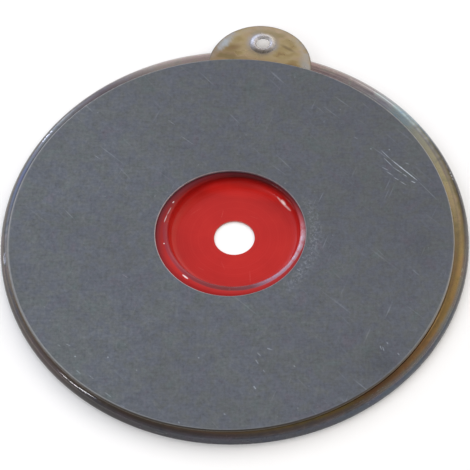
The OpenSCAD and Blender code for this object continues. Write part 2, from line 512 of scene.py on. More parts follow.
def dish_move(x, y, z, r, a, i):
    dz = 0.0
    if z > 0.45 and r < 18.5:
        dz = -0.012 * (1 + DW2(x, y)) * smooth(r, 6.6, 8.0)
    if z > DISH_Z1 - 1.2 and r < 26.8:
        # crowned flange, falling towards the wall and towards the plate's edge
        up = smooth(z, DISH_Z1 - 1.2, DISH_Z1 - 0.1)
        dz -= up * (0.09 * (1 - smooth(r, 22.3, 24.0)) + 0.20 * smooth(r, 24.3, 25.7) * (1 - smooth(r, 26.0, 26.7)))
    return (0.0, 0.0, dz)


dish = lathe("centre_dish_skin", dish_section(), 420, (0.0, 0.0), dish_move, sharp=50.0)


# ---------------------------------------------------------------- tab
TW = plane_waves(21, 8, 6.0, 15.0)
TW2 = plane_waves(22, 8, 2.5, 5.0)


def tab_reach(a):
    """Distance from the hanging hole's centre to the tab's outline at angle a."""
    c, s = math.cos(a), math.sin(a)
    # outer circle, centre (0, TAB_C) seen from (0, EYE_C)
    oy = EYE_C - TAB_C
    b = oy * s
    d = -b + math.sqrt(max(0.0, b * b - (oy * oy - TAB_R * TAB_R)))
    # inner arc about the axis
    ri = 63.3
    b2 = EYE_C * s
    q = b2 * b2 - (EYE_C * EYE_C - ri * ri)
    if q > 0:
        e = -b2 - math.sqrt(q)
        if 0 < e < d:
            d = e
    return d


def tab_mesh():
    n_a, n_r, n_e = 360, 26, 8
    hole = EYE_BORE + 0.6
    h = (TAB_Z1 - TAB_Z0) / 2
    zc = (TAB_Z1 + TAB_Z0) / 2
    rows = []
    verts = []
    for k in range(n_a):
        a = TAU * k / n_a
        D = tab_reach(a)
        c, s = math.cos(a), math.sin(a)
        ring = []
        for i in range(n_r + 1):
            q = hole + (D - h - hole) * i / n_r
            ring.append((q, zc + h))
        for j in range(1, n_e):
            b = math.pi * j / n_e
            ring.append((D - h + h * math.sin(b), zc + h * math.cos(b)))
        for i in range(n_r, -1, -1):
            q = hole + (D - h - hole) * i / n_r
            ring.append((q, zc - h))
        row = []
        for q, z in ring:
            x, y = q * c, EYE_C + q * s
            rad = math.hypot(x, y)
            k1 = smooth(q, hole + 1.6, hole + 4.5) * smooth(rad, 68.0, 71.0)
            z += -k1 * (0.050 * (1 + TW(x, y)) + 0.006 * (1 + TW2(x, y)))
            # the border is turned down a little
            out = TAB_R - math.hypot(x, y - TAB_C)
            z += -0.20 * (1 - smooth(out, 0.3, 3.0)) * smooth(rad, 70.5, 73.0)
            row.append(len(verts))
            verts.append((x * MM, y * MM, z * MM))
        rows.append(row)
    faces = []
    m_ = len(rows[0])
    for k in range(n_a):
        A, B = rows[k], rows[(k + 1) % n_a]
        for i in range(m_):
            j = (i + 1) % m_
            faces.append((A[i], A[j], B[j], B[i]))
    return new_object("hang_tab_skin", verts, faces, 50.0)


tab = tab_mesh()

# ---------------------------------------------------------------- eyelet
EW = waves(31, 6, 2, 6)


def eyelet_section():
    b, R = EYE_BORE, EYE_R
    zt, zu = TAB_Z1, TAB_Z0
    top = EYE_Z1
    # rolled flange: steep on the inside, flattening out towards the tab
    top_h = top - zt
    up_ = []
    for i in range(31):
        u = i / 30
        k = math.sin(math.pi / 2 * min(1.0, u / 0.34)) if u < 0.34 else 1.0 - smooth(u, 0.34, 1.0)
        up_.append((b + (R - b) * u, zt + 0.004 + (top_h - 0.004) * k))
    under = [(R - 0.02, zt), (b + 0.5, zt)]
    low_r = b + 1.5
    low = [(b + (low_r - b) * u, zu - (zu - EYE_Z0) * math.sin(math.pi * u ** 0.8)) for u in [i / 16 for i in range(16, -1, -1)]]
    return chain(
        [(b, zu), (b, zu + 0.2), (b, zt - 0.1), (b, zt)][::-1],
        low[::-1],
        [(low_r, zu), (b + 0.5, zu), (b + 0.5, zt)],
        [(R - 0.02, zt)],
        up_[::-1],
    )


def eyelet_move(x, y, z, r, a, i):
    k = smooth(r, 2.6, 3.4)
    return (0.0, 0.0, -0.03 * k * (1 + EW(a)) * (1.0 if z > TAB_Z1 + 0.05 else 0.0))


eyelet = lathe("tab_eyelet_skin", eyelet_section(), 160, (0.0, EYE_C), eyelet_move, sharp=60.0)


# ---------------------------------------------------------------- materials
SCRATCHES = [
    (43.9, 35.6, 47.4, 32.3, 0.22, 0.50), (47.4, 32.3, 56.6, 24.9, 0.28, 1.00), (56.6, 24.9, 63.7, 17.8, 0.20, 0.20),
    (45.0, 32.7, 48.1, 29.7, 0.24, 0.50), (48.1, 29.4, 51.4, 27.3, 0.24, 0.45), (51.6, 27.0, 53.1, 26.1, 0.24, 0.50),
    (54.6, 24.5, 56.0, 23.9, 0.28, 0.70), (44.7, 29.0, 46.9, 27.9, 0.24, 0.45), (46.3, 27.4, 48.6, 26.0, 0.24, 0.40),
    (48.9, 25.3, 50.6, 24.4, 0.24, 0.45), (51.0, 24.0, 53.2, 22.7, 0.24, 0.45), (46.3, 36.4, 46.7, 36.1, 0.36, 0.65),
    (52.0, 31.6, 53.5, 31.0, 0.30, 0.30), (34.6, 40.1, 35.9, 39.4, 0.26, 0.22),
    (-48.4, -49.2, -47.3, -49.8, 0.26, 0.32), (-46.0, -48.6, -44.3, -49.3, 0.26, 0.32), (-42.5, -52.7, -42.0, -52.9, 0.36, 0.75),
    (-32.4, -51.8, -32.0, -52.0, 0.36, 0.65), (-41.1, -57.5, -39.5, -58.7, 0.26, 0.32), (-37.0, -58.8, -35.2, -60.0, 0.26, 0.30),
    (-31.1, -64.2, -28.8, -65.7, 0.26, 0.32), (-25.9, -67.8, -24.5, -68.5, 0.26, 0.32), (-4.8, -48.7, -4.3, -49.1, 0.34, 0.45),
    (-23.0, -55.2, -22.6, -55.6, 0.30, 0.35), (-7.6, -71.5, -7.1, -72.2, 0.34, 0.40), (5.6, -67.3, 6.2, -67.5, 0.34, 0.40),
    (13.0, -45.0, 14.3, -46.1, 0.26, 0.38), (15.8, -43.1, 17.6, -43.6, 0.34, 0.45), (12.8, -47.5, 13.9, -49.0, 0.28, 0.38),
    (15.5, -50.8, 16.2, -51.6, 0.30, 0.32), (24.6, -48.3, 25.2, -48.7, 0.34, 0.42), (13.4, -56.8, 14.2, -57.8, 0.34, 0.55),
    (50.1, -38.2, 50.7, -39.6, 0.28, 0.42), (50.9, -38.5, 51.5, -40.0, 0.28, 0.38), (52.0, -36.7, 52.5, -37.4, 0.32, 0.36),
    (55.6, -40.2, 56.3, -40.9, 0.30, 0.36), (-27.2, 40.2, -24.6, 38.4, 0.22, 0.26), (-22.0, 34.1, -17.2, 31.0, 0.22, 0.24),
    (-49.2, 23.3, -47.0, 21.9, 0.24, 0.24), (-32.7, -21.5, -30.6, -22.7, 0.24, 0.22), (21.7, -13.3, 22.7, -14.0, 0.34, 0.36),
    (-27.0, 9.4, -26.8, 9.2, 0.38, 0.40), (14.1, 19.2, 14.3, 19.0, 0.34, 0.32),
]


def face_material():
    N = Nodes("face_steel_rubbed")
    x, y, z = N.parts()
    flat = N.join(x, y, 0.0)
    # broad staining, patchy rubbing, and fine grain in crossed directions
    broad = N.noise(flat, 0.020, 3.0, 0.55)
    patch = N.noise(flat, 0.10, 4.0, 0.62, 0.6)
    grain_a = N.noise(N.turned(8.0, (7.0, 0.70, 1.0), flat), 1.0, 2.0, 0.65)
    grain_b = N.noise(N.turned(98.0, (6.0, 0.80, 1.0), flat), 1.0, 2.0, 0.65)
    speck = N.noise(flat, 1.0, 4.0, 0.72)
    mottle = N.noise(flat, 0.42, 3.0, 0.65)
    cloud = N.noise(flat, 0.15, 3.0, 0.6)
    fine = N.math("ADD", N.math("MULTIPLY", grain_a, 0.5), N.math("MULTIPLY", grain_b, 0.5))
    # painted light: lighter towards the lower left, as if lit more from that side, mixed with broad staining
    painted_light_and_stain = N.remap(N.math("ADD", N.math("MULTIPLY", x, -0.80), N.math("MULTIPLY", y, -0.45)), -60.0, 60.0, 0.0, 1.0)
    painted_light_and_stain = N.math("ADD", N.math("MULTIPLY", painted_light_and_stain, 0.75), N.math("MULTIPLY", N.math("SUBTRACT", broad, 0.5), 0.9))
    base = N.ramp(painted_light_and_stain, [(0.0, (0.108, 0.116, 0.131)), (0.45, (0.124, 0.135, 0.153)), (0.95, (0.143, 0.160, 0.182))])
    hue = N.math("ADD", N.math("MULTIPLY", patch, 0.6), N.math("MULTIPLY", N.noise(flat, 0.31, 3.0, 0.6), 0.4))
    tint = N.ramp(hue, [(0.36, (0.95, 1.04, 0.97)), (0.46, (1.02, 1.01, 0.95)), (0.50, (1.0, 1.0, 1.0)), (0.56, (0.97, 0.99, 1.05)), (0.64, (1.06, 0.97, 1.03))])
    col = N.mix(1.0, base, tint, "MULTIPLY")
    tone = N.math("ADD", N.math("MULTIPLY", N.math("SUBTRACT", fine, 0.5), 0.46), N.math("MULTIPLY", N.math("SUBTRACT", speck, 0.5), 0.88))
    tone = N.math("ADD", tone, N.math("MULTIPLY", N.math("SUBTRACT", mottle, 0.5), 0.42))
    tone = N.math("ADD", tone, N.math("MULTIPLY", N.math("SUBTRACT", cloud, 0.5), 0.26))
    tone = N.math("MULTIPLY_ADD", tone, N.remap(painted_light_and_stain, 0.1, 0.9, 0.85, 1.35), 1.0)
    col = N.vec("SCALE", col, scale=tone)
    # a few dark smudges
    smudge = None
    for cx, cy, rad, amt in ((50.5, -44.5, 9.0, 0.16), (59.0, 0.0, 7.0, 0.10), (-58.0, -6.0, 10.0, 0.06), (20.0, 52.0, 12.0, 0.05)):
        d = N.vec("LENGTH", N.vec("SUBTRACT", flat, (cx, cy, 0.0)))
        m_ = N.math("MULTIPLY", N.remap(d, rad, rad * 0.2, 0.0, 1.0, True), amt)
        smudge = m_ if smudge is None else N.math("MAXIMUM", smudge, m_)
    smudge = N.math("MULTIPLY", smudge, N.remap(N.noise(flat, 0.30, 3.0, 0.6), 0.35, 0.6, 0.4, 1.3))
    col = N.vec("SCALE", col, scale=N.math("SUBTRACT", 1.0, smudge))
    # placed scratches
    placed = lines(N, SCRATCHES, flat)
    wob = N.remap(N.noise(flat, 1.3, 2.0, 0.6), 0.30, 0.62, 0.30, 1.0)
    placed = N.math("MULTIPLY", placed, wob)
    # faint hair scratches and small bright nicks all over
    hairs = None
    for ang, st, sc, seed, lim in ((-43, 9.0, 0.60, 0.0, 0.79), (-36, 14.0, 0.60, 31.0, 0.80), (75, 8.0, 0.60, 57.0, 0.80)):
        v = N.vec("ADD", N.turned(ang, (st, 0.55, 1.0), flat), (seed, seed * 0.7, 0.0))
        h = N.remap(N.noise(v, sc, 1.0, 0.4), lim - 0.10, lim, 0.0, 1.0)
        hairs = h if hairs is None else N.math("MAXIMUM", hairs, h)
    nick = N.remap(N.noise(flat, 0.85, 1.0, 0.4), 0.755, 0.80, 0.0, 1.0)
    area = N.remap(N.noise(flat, 0.045, 2.0, 0.5), 0.45, 0.62, 0.2, 1.0)
    hairs = N.math("MULTIPLY", N.math("MAXIMUM", N.math("MULTIPLY", hairs, 0.16), N.math("MULTIPLY", nick, 0.22)), area)
    # rubbed crescent beside the opening
    r = N.vec("LENGTH", N.vec("SUBTRACT", flat, (FACE_C[0], FACE_C[1], 0.0)))
    band = N.math("MULTIPLY", N.remap(r, 24.6, 26.0, 0.0, 1.0, True), N.remap(r, 31.0, 26.5, 0.0, 1.0, True))
    side = N.remap(N.vec("DOT_PRODUCT", flat, (1.0, -0.10, 0.0)), 15.0, 26.0, 0.0, 1.0, True)
    cres = N.math("MULTIPLY", N.math("MULTIPLY", band, side), N.remap(N.noise(flat, 1.1, 4.0, 0.7), 0.47, 0.66, 0.0, 1.0))
    worn = N.math("MAXIMUM", N.math("MAXIMUM", placed, hairs), N.math("MULTIPLY", cres, 0.22))
    col = N.mix(worn, col, (0.62, 0.69, 0.78))
    # bare metal edges: the rounded outside, and the bevel of the opening, whose brightness changes round the opening as
    # a painted highlight
    out = N.remap(r, FACE_R - 0.42, FACE_R - 0.25, 0.0, 1.0, True)
    rb = N.vec("LENGTH", N.vec("SUBTRACT", flat, (BORE_C[0], BORE_C[1], 0.0)))
    bore = N.math("MULTIPLY", N.remap(rb, FACE_BORE + 0.32, FACE_BORE + 0.16), N.remap(z, FACE_Z1 - 0.5, FACE_Z1 - 0.25))
    bore = N.math("MULTIPLY", bore, N.ramp(turn_of(N, x, y), [(0.0, (0.85,) * 3), (0.12, (1.0,) * 3), (0.19, (0.95,) * 3), (0.26, (0.40,) * 3), (0.45, (0.40,) * 3), (0.60, (0.45,) * 3), (0.75, (0.25,) * 3), (0.90, (0.80,) * 3), (1.0, (0.85,) * 3)]))
    edge = N.math("MAXIMUM", out, N.math("MULTIPLY", bore, 0.5))
    bare = N.ramp(N.noise(flat, 0.5, 3.0, 0.65), [(0.3, (0.32, 0.31, 0.29)), (0.7, (0.46, 0.44, 0.42))])
    ub = turn_of(N, x, y)
    # painted shade: the outer edge darker along the near side
    painted_edge_shade = N.ramp(ub, [(0.10, (0.0,) * 3), (0.15, (0.75,) * 3), (0.20, (1.0,) * 3), (0.36, (0.90,) * 3), (0.44, (0.20,) * 3), (0.47, (0.0,) * 3)])
    bare = N.mix(painted_edge_shade, bare, (0.135, 0.120, 0.103))
    # painted shade: the lower part of the outer edge dark, towards the gap beneath it
    side = N.ramp(ub, [(0.0, (0.140, 0.122, 0.105)), (0.15, (0.100, 0.087, 0.074)), (0.31, (0.100, 0.086, 0.068)), (0.37, (0.160, 0.132, 0.102)), (1.0, (0.140, 0.122, 0.105))])
    bare = N.mix(N.remap(z, FACE_Z1 - 0.16, FACE_Z1 - 0.34, 0.0, 1.0, True), bare, side)
    # painted highlight: a light line just inside the outer edge at the lower left and lower right
    painted_edge_highlight = N.math("MULTIPLY", N.remap(r, FACE_R - 0.80, FACE_R - 0.58, 0.0, 1.0, True), N.ramp(ub, [(0.0, (0.35,) * 3), (0.05, (0.60,) * 3), (0.12, (0.88,) * 3), (0.17, (0.72,) * 3), (0.23, (0.30,) * 3), (0.36, (0.10,) * 3), (0.41, (0.42,) * 3), (0.46, (0.42,) * 3), (0.50, (0.05,) * 3), (0.90, (0.10,) * 3), (1.0, (0.35,) * 3)]))
    col = N.mix(painted_edge_highlight, col, (0.33, 0.335, 0.34))
    col = N.mix(out, col, bare)
    col = N.mix(bore, col, N.ramp(N.noise(flat, 0.6, 3.0, 0.65), [(0.3, (0.46, 0.35, 0.37)), (0.7, (0.66, 0.54, 0.56))]))
    rough = N.remap(patch, 0.3, 0.7, 0.52, 0.62)
    rough = N.math("SUBTRACT", rough, N.math("MULTIPLY", worn, 0.12))
    rough = N.math("SUBTRACT", rough, N.math("MULTIPLY", edge, 0.26))
    metal = N.math("ADD", 0.35, N.math("MULTIPLY", edge, 0.60))
    b = N.bump(N.math("ADD", N.math("MULTIPLY", fine, 0.7), N.math("MULTIPLY", speck, 0.3)), 0.012, 0.6)
    b = N.bump(N.math("SUBTRACT", 0.0, worn), 0.020, 0.6, b)
    return N.finish(Base_Color=col, Metallic=metal, Roughness=rough, Normal=b, IOR=1.45)


def turn_of(N, x, y, wob=None):
    """0 to 1 once around Z, starting at -X and running through -Y, +X and +Y."""
    a = N.math("ARCTAN2", y, x)
    u = N.math("MULTIPLY_ADD", a, 1.0 / TAU, 0.5)
    if wob is not None:
        u = N.math("ADD", u, wob)
    return u


def plating_tone(N, p):
    """Small colour shifts of a yellow passivation: olive, gold, rose and straw."""
    big = N.noise(p, 0.05, 2.0, 0.5, 0.4)
    mid = N.noise(p, 0.24, 3.0, 0.55, 0.9)
    t = N.math("ADD", N.math("MULTIPLY", big, 0.45), N.math("MULTIPLY", mid, 0.55))
    return mid, N.ramp(t, [(0.30, (0.86, 0.90, 1.02)), (0.42, (0.96, 0.95, 0.90)), (0.50, (1.04, 1.00, 0.90)), (0.58, (1.06, 0.94, 0.90)), (0.70, (0.92, 0.84, 0.90))])


def rim_material():
    N = Nodes("yellow_plating_rim_painted_reflections")
    x, y, z = N.parts()
    p = N.xyz()
    mid, tone = plating_tone(N, p)
    u = turn_of(N, x, y, N.math("MULTIPLY", N.math("SUBTRACT", mid, 0.5), 0.05))
    # painted reflections: the colours of the top, the middle and the lower wall change round the rim as reflections do,
    # and the lower wall is painted dark in place of a reflection of dark surroundings
    top = N.ramp(u, [
        (0.00, (0.19, 0.20, 0.22)), (0.04, (0.44, 0.43, 0.41)), (0.085, (0.30, 0.21, 0.12)), (0.165, (0.28, 0.26, 0.20)),
        (0.25, (0.56, 0.46, 0.34)), (0.335, (0.64, 0.53, 0.25)), (0.38, (0.50, 0.32, 0.19)), (0.45, (0.45, 0.32, 0.15)),
        (0.51, (0.43, 0.35, 0.20)), (0.55, (0.70, 0.63, 0.37)), (0.585, (0.62, 0.59, 0.42)), (0.606, (0.52, 0.54, 0.46)), (0.625, (0.38, 0.50, 0.57)), (0.645, (0.38, 0.46, 0.50)),
        (0.665, (0.39, 0.40, 0.40)), (0.72, (0.39, 0.31, 0.28)), (0.82, (0.52, 0.47, 0.43)), (0.875, (0.25, 0.22, 0.24)),
        (0.92, (0.29, 0.31, 0.32)), (0.95, (0.24, 0.26, 0.28)), (0.972, (0.17, 0.20, 0.29)), (1.00, (0.19, 0.20, 0.22))])
    low = N.ramp(u, [
        (0.00, (0.080, 0.074, 0.074)), (0.12, (0.085, 0.076, 0.076)), (0.19, (0.070, 0.070, 0.076)), (0.25, (0.082, 0.086, 0.108)),
        (0.32, (0.084, 0.090, 0.112)), (0.38, (0.088, 0.110, 0.150)), (0.43, (0.082, 0.094, 0.116)), (0.50, (0.074, 0.072, 0.072)),
        (0.60, (0.070, 0.070, 0.078)), (0.75, (0.100, 0.090, 0.090)), (0.88, (0.060, 0.056, 0.060)), (1.00, (0.085, 0.078, 0.078))])
    mean = N.ramp(u, [
        (0.00, (0.14, 0.135, 0.135)), (0.12, (0.24, 0.22, 0.21)), (0.25, (0.34, 0.32, 0.36)), (0.33, (0.52, 0.47, 0.47)), (0.40, (0.33, 0.33, 0.33)),
        (0.50, (0.155, 0.145, 0.130)), (0.54, (0.066, 0.061, 0.064)), (0.59, (0.070, 0.074, 0.083)), (0.625, (0.24, 0.33, 0.41)), (0.67, (0.30, 0.29, 0.29)),
        (0.80, (0.25, 0.22, 0.22)), (0.88, (0.085, 0.080, 0.085)), (0.93, (0.10, 0.10, 0.105)), (1.00, (0.14, 0.135, 0.135))])
    zz = N.math("ADD", z, N.math("MULTIPLY", N.math("SUBTRACT", mid, 0.5), 0.30))
    # painted reflection: the top darkens across the curve, unevenly round the rim
    painted_top_darkening = N.ramp(u, [(0.0, (0.92,) * 3), (0.06, (0.92,) * 3), (0.10, (1.0,) * 3), (0.40, (1.0,) * 3), (0.42, (0.80,) * 3), (0.46, (0.62,) * 3), (0.485, (0.82,) * 3), (0.50, (0.82,) * 3),
        (0.525, (0.46,) * 3), (0.545, (0.32,) * 3), (0.585, (0.30,) * 3), (0.61, (0.60,) * 3), (0.64, (1.0,) * 3), (0.83, (1.0,) * 3), (0.875, (0.60,) * 3), (0.917, (0.58,) * 3), (0.958, (0.80,) * 3), (1.0, (0.92,) * 3)])
    top = N.mix(N.remap(zz, 4.97, 4.72, 0.0, 1.0), top, N.mix(1.0, top, painted_top_darkening, "MULTIPLY"))
    shift = N.remap(N.math("ABSOLUTE", N.math("SUBTRACT", u, 0.55)), 0.08, 0.03, 0.0, 0.10, True)
    col = N.mix(N.remap(N.math("SUBTRACT", zz, shift), 4.66, 4.20, 0.0, 1.0), top, mean)
    col = N.mix(N.remap(zz, 4.00, 3.10, 0.0, 1.0, True), col, low)
    col = N.mix(1.0, col, tone, "MULTIPLY")
    spot = N.remap(N.noise(p, 1.6, 4.0, 0.68), 0.56, 0.72, 0.0, 0.55)
    col = N.vec("SCALE", col, scale=N.math("SUBTRACT", 1.0, N.math("MULTIPLY", spot, 0.45)))
    # rubbed through in short streaks that run round the rim
    ang = N.math("MULTIPLY", u, TAU * 75.0)
    r_of = N.vec("LENGTH", N.join(x, y, 0.0))
    run = N.noise(N.join(N.math("MULTIPLY", ang, 0.16), N.math("MULTIPLY", z, 2.2), 3.0), 1.0, 3.0, 0.6)
    rub = N.remap(run, 0.66, 0.74, 0.0, 0.45)
    col = N.mix(rub, col, (0.50, 0.49, 0.48))
    # fine rubbing lines along the rim at the back right
    fine = N.noise(N.join(N.math("MULTIPLY", ang, 0.05), N.math("MULTIPLY", r_of, 6.0), 9.0), 1.0, 3.0, 0.7)
    part = N.math("MULTIPLY", N.remap(u, 0.625, 0.655, 0.0, 1.0), N.remap(u, 0.76, 0.71, 0.0, 1.0))
    col = N.vec("SCALE", col, scale=N.math("ADD", 1.0, N.math("MULTIPLY", N.math("MULTIPLY", N.math("SUBTRACT", fine, 0.5), 2.4), part)))
    # painted light: lighter in the narrow space beside the plate
    painted_gap_light = N.math("MULTIPLY", N.remap(r_of, 71.9, 71.2, 0.0, 1.0), N.math("MULTIPLY", N.remap(u, 0.28, 0.33, 0.0, 1.0), N.remap(u, 0.46, 0.43, 0.0, 1.0)))
    col = N.vec("SCALE", col, scale=N.math("ADD", 1.0, N.math("MULTIPLY", painted_gap_light, 1.6)))
    # painted reflection: the outer curve darker and bluer at the right and back right
    painted_bend_tint = N.math("MULTIPLY", N.remap(r_of, 71.1, 71.8, 0.0, 1.0, True), N.remap(r_of, 72.9, 72.4, 0.0, 1.0, True))
    painted_bend_tint = N.math("MULTIPLY", painted_bend_tint, N.ramp(u, [(0.50, (0.0,) * 3), (0.535, (0.30,) * 3), (0.575, (0.52,) * 3), (0.60, (0.42,) * 3), (0.625, (0.0,) * 3)]))
    col = N.vec("SCALE", col, scale=N.math("SUBTRACT", 1.0, painted_bend_tint))
    col = N.mix(painted_bend_tint, col, N.mix(1.0, col, (0.94, 1.0, 1.75), "MULTIPLY"))
    # small dents catch the light
    dent = N.remap(N.voronoi(p, 0.11, "F1"), 0.16, 0.06, 0.0, 1.0, True)
    # painted highlights: small pale glints at set places round the rim, drawn as bare metal
    for deg, zc, la, lz in ((155.0, 4.65, 2.0, 0.24), (193.0, 4.15, 1.8, 0.5), (307.7, 4.28, 1.6, 0.12), (313.8, 4.34, 1.6, 0.10), (24.0, 4.25, 1.2, 0.3), (101.0, 4.75, 1.4, 0.2)):
        da = N.math("DIVIDE", N.math("MULTIPLY", N.math("SUBTRACT", u, deg / 360.0 + (0.5 if deg < 180 else -0.5)), TAU * 75.0), la)
        dz = N.math("DIVIDE", N.math("SUBTRACT", z, zc), lz)
        k = N.remap(N.vec("LENGTH", N.join(da, dz, 0.0)), 1.0, 0.3, 0.0, 0.75, True)
        col = N.mix(k, col, (0.62, 0.61, 0.64))
    rough = N.remap(mid, 0.3, 0.7, 0.12, 0.18)
    rough = N.math("MULTIPLY", rough, N.math("SUBTRACT", 1.0, N.math("MULTIPLY", N.remap(u, 0.10, 0.13, 0.0, 0.45, True), N.remap(u, 0.24, 0.20, 0.0, 1.0, True))))
    rough = N.math("ADD", rough, N.math("MULTIPLY", spot, 0.18))
    rough = N.math("ADD", rough, N.remap(z, 4.0, 2.8, 0.0, 0.12))
    b = N.bump(N.math("SUBTRACT", N.noise(p, 0.34, 2.0, 0.5), N.math("MULTIPLY", dent, 0.35)), 0.05, 0.5)
    b = N.bump(N.noise(p, 4.0, 2.0, 0.6), 0.003, 0.6, b)
    return N.finish(Base_Color=col, Metallic=1.0, Roughness=rough, Normal=b)


def tab_material():
    N = Nodes("yellow_plating_tab")
    x, y, z = N.parts()
    p = N.xyz()
    warp = N.vec("ADD", p, N.vec("SCALE", N.vec("SUBTRACT", N.noise(p, 0.22, 2.0, 0.5, colour=True), (0.5, 0.5, 0.5)), scale=7.0))
    big = N.noise(N.vec("MULTIPLY", warp, (0.7, 1.3, 1.0)), 0.11, 0.0, 0.5)
    mid = N.noise(N.vec("MULTIPLY", warp, (0.5, 1.6, 1.0)), 0.22, 1.0, 0.5)
    t = N.math("ADD", N.math("MULTIPLY", big, 0.55), N.math("MULTIPLY", mid, 0.45))
    col = N.ramp(t, [
        (0.30, (0.26, 0.175, 0.090)), (0.41, (0.38, 0.275, 0.130)), (0.47, (0.41, 0.315, 0.150)), (0.53, (0.47, 0.370, 0.200)),
        (0.59, (0.47, 0.350, 0.215)), (0.70, (0.36, 0.285, 0.150))])
    left = N.math("MULTIPLY", N.remap(x, -6.0, -9.5, 0.0, 0.28, True), N.remap(y, 76.5, 74.5, 0.0, 1.0, True))
    left = N.math("MAXIMUM", left, N.remap(y, 71.5, 69.5, 0.0, 0.16, True))
    col = N.vec("SCALE", col, scale=N.math("SUBTRACT", 1.0, left))
    col = N.mix(N.math("MULTIPLY", left, 3.0), col, N.mix(1.0, col, (1.03, 0.97, 0.86), "MULTIPLY"))
    # painted highlights: a pale blue-white streak near the left border and a pale grey patch near the right border
    v = N.vec("SUBTRACT", p, (-12.9, 75.7, 5.5))
    st = N.vec("LENGTH", N.turned(-32.0, (2.0, 4.2, 9.0), v))
    st = N.math("ADD", st, N.math("MULTIPLY", N.math("SUBTRACT", N.noise(N.turned(30.0, (1.0, 4.0, 1.0), p), 1.0, 3.0, 0.6), 0.5), 1.3))
    col = N.mix(N.remap(st, 1.20, 0.15, 0.0, 0.78, True), col, (0.52, 0.58, 0.63))
    v = N.vec("SUBTRACT", p, (15.4, 68.0, 5.5))
    st = N.vec("LENGTH", N.turned(18.0, (2.0, 5.5, 9.0), v))
    col = N.mix(N.remap(st, 1.15, 0.3, 0.0, 0.75), col, (0.42, 0.41, 0.38))
    # brown streak right of the hole, dull patch below it
    v = N.vec("SUBTRACT", p, (8.6, 75.4, 5.5))
    st = N.vec("LENGTH", N.turned(-28.0, (4.2, 0.9, 9.0), v))
    col = N.mix(N.remap(st, 1.0, 0.2, 0.0, 0.60, True), col, (0.17, 0.12, 0.06))
    v = N.vec("SUBTRACT", p, (-10.0, 73.6, 5.5))
    st = N.vec("LENGTH", N.turned(20.0, (4.0, 1.3, 9.0), v))
    col = N.mix(N.remap(st, 1.0, 0.2, 0.0, 0.50, True), col, (0.28, 0.17, 0.09))
    # painted highlight along the turned-down border, bluish on the left, and a painted dark outline as shade at its
    # edge
    out = N.math("SUBTRACT", TAB_R, N.vec("LENGTH", N.vec("SUBTRACT", N.join(x, y, 0.0), (0.0, TAB_C, 0.0))))
    painted_border_highlight = N.math("MULTIPLY", N.remap(out, 3.6, 0.8, 0.0, 0.85, True), N.remap(N.noise(p, 0.35, 2.0, 0.6), 0.35, 0.6, 0.15, 1.0))
    sides = N.remap(N.math("ABSOLUTE", x), 7.0, 13.0, 0.25, 1.0, True)
    sides = N.math("MULTIPLY", sides, N.remap(x, -13.5, -10.5, 0.25, 1.0, True))
    col = N.mix(N.math("MULTIPLY", painted_border_highlight, sides), col, N.ramp(N.remap(x, -8.0, 8.0), [(0.0, (0.40, 0.44, 0.50)), (1.0, (0.42, 0.40, 0.37))]))
    col = N.mix(N.remap(out, 0.60, 0.15, 0.0, 0.75, True), col, (0.15, 0.13, 0.11))
    # silver halo round the eyelet, with painted highlight on the left and right and painted shade below and at the top,
    # by the turn round the hole
    hole = N.vec("LENGTH", N.vec("SUBTRACT", N.join(x, y, 0.0), (0.0, EYE_C, 0.0)))
    ex, ey = N.math("SUBTRACT", x, 0.0), N.math("SUBTRACT", y, EYE_C)
    turn = N.math("MULTIPLY_ADD", N.math("ARCTAN2", ey, ex), 1.0 / TAU, 0.5)
    halo_and_painted_light = N.math("MULTIPLY", N.remap(hole, 6.6, 4.2, 0.0, 0.9, True), N.remap(N.noise(p, 0.5, 1.0, 0.5), 0.35, 0.65, 0.5, 1.0))
    col = N.mix(halo_and_painted_light, col, N.ramp(turn, [(0.0, (0.44, 0.42, 0.42)), (0.16, (0.24, 0.20, 0.15)), (0.30, (0.22, 0.19, 0.15)), (0.44, (0.40, 0.38, 0.38)), (0.58, (0.40, 0.34, 0.24)), (0.75, (0.36, 0.29, 0.17)), (0.90, (0.48, 0.47, 0.48)), (1.0, (0.44, 0.42, 0.42))]))
    spot = N.remap(N.noise(p, 1.8, 4.0, 0.7), 0.60, 0.78, 0.0, 0.3)
    col = N.mix(spot, col, (0.22, 0.17, 0.11))
    rough = N.math("ADD", N.remap(mid, 0.3, 0.7, 0.26, 0.40), N.math("MULTIPLY", spot, 0.2))
    b = N.bump(N.noise(p, 0.30, 2.0, 0.5), 0.06, 0.5)
    b = N.bump(N.noise(p, 2.4, 3.0, 0.6), 0.006, 0.6, b)
    return N.finish(Base_Color=col, Metallic=0.60, Roughness=rough, Normal=b, IOR=1.5)


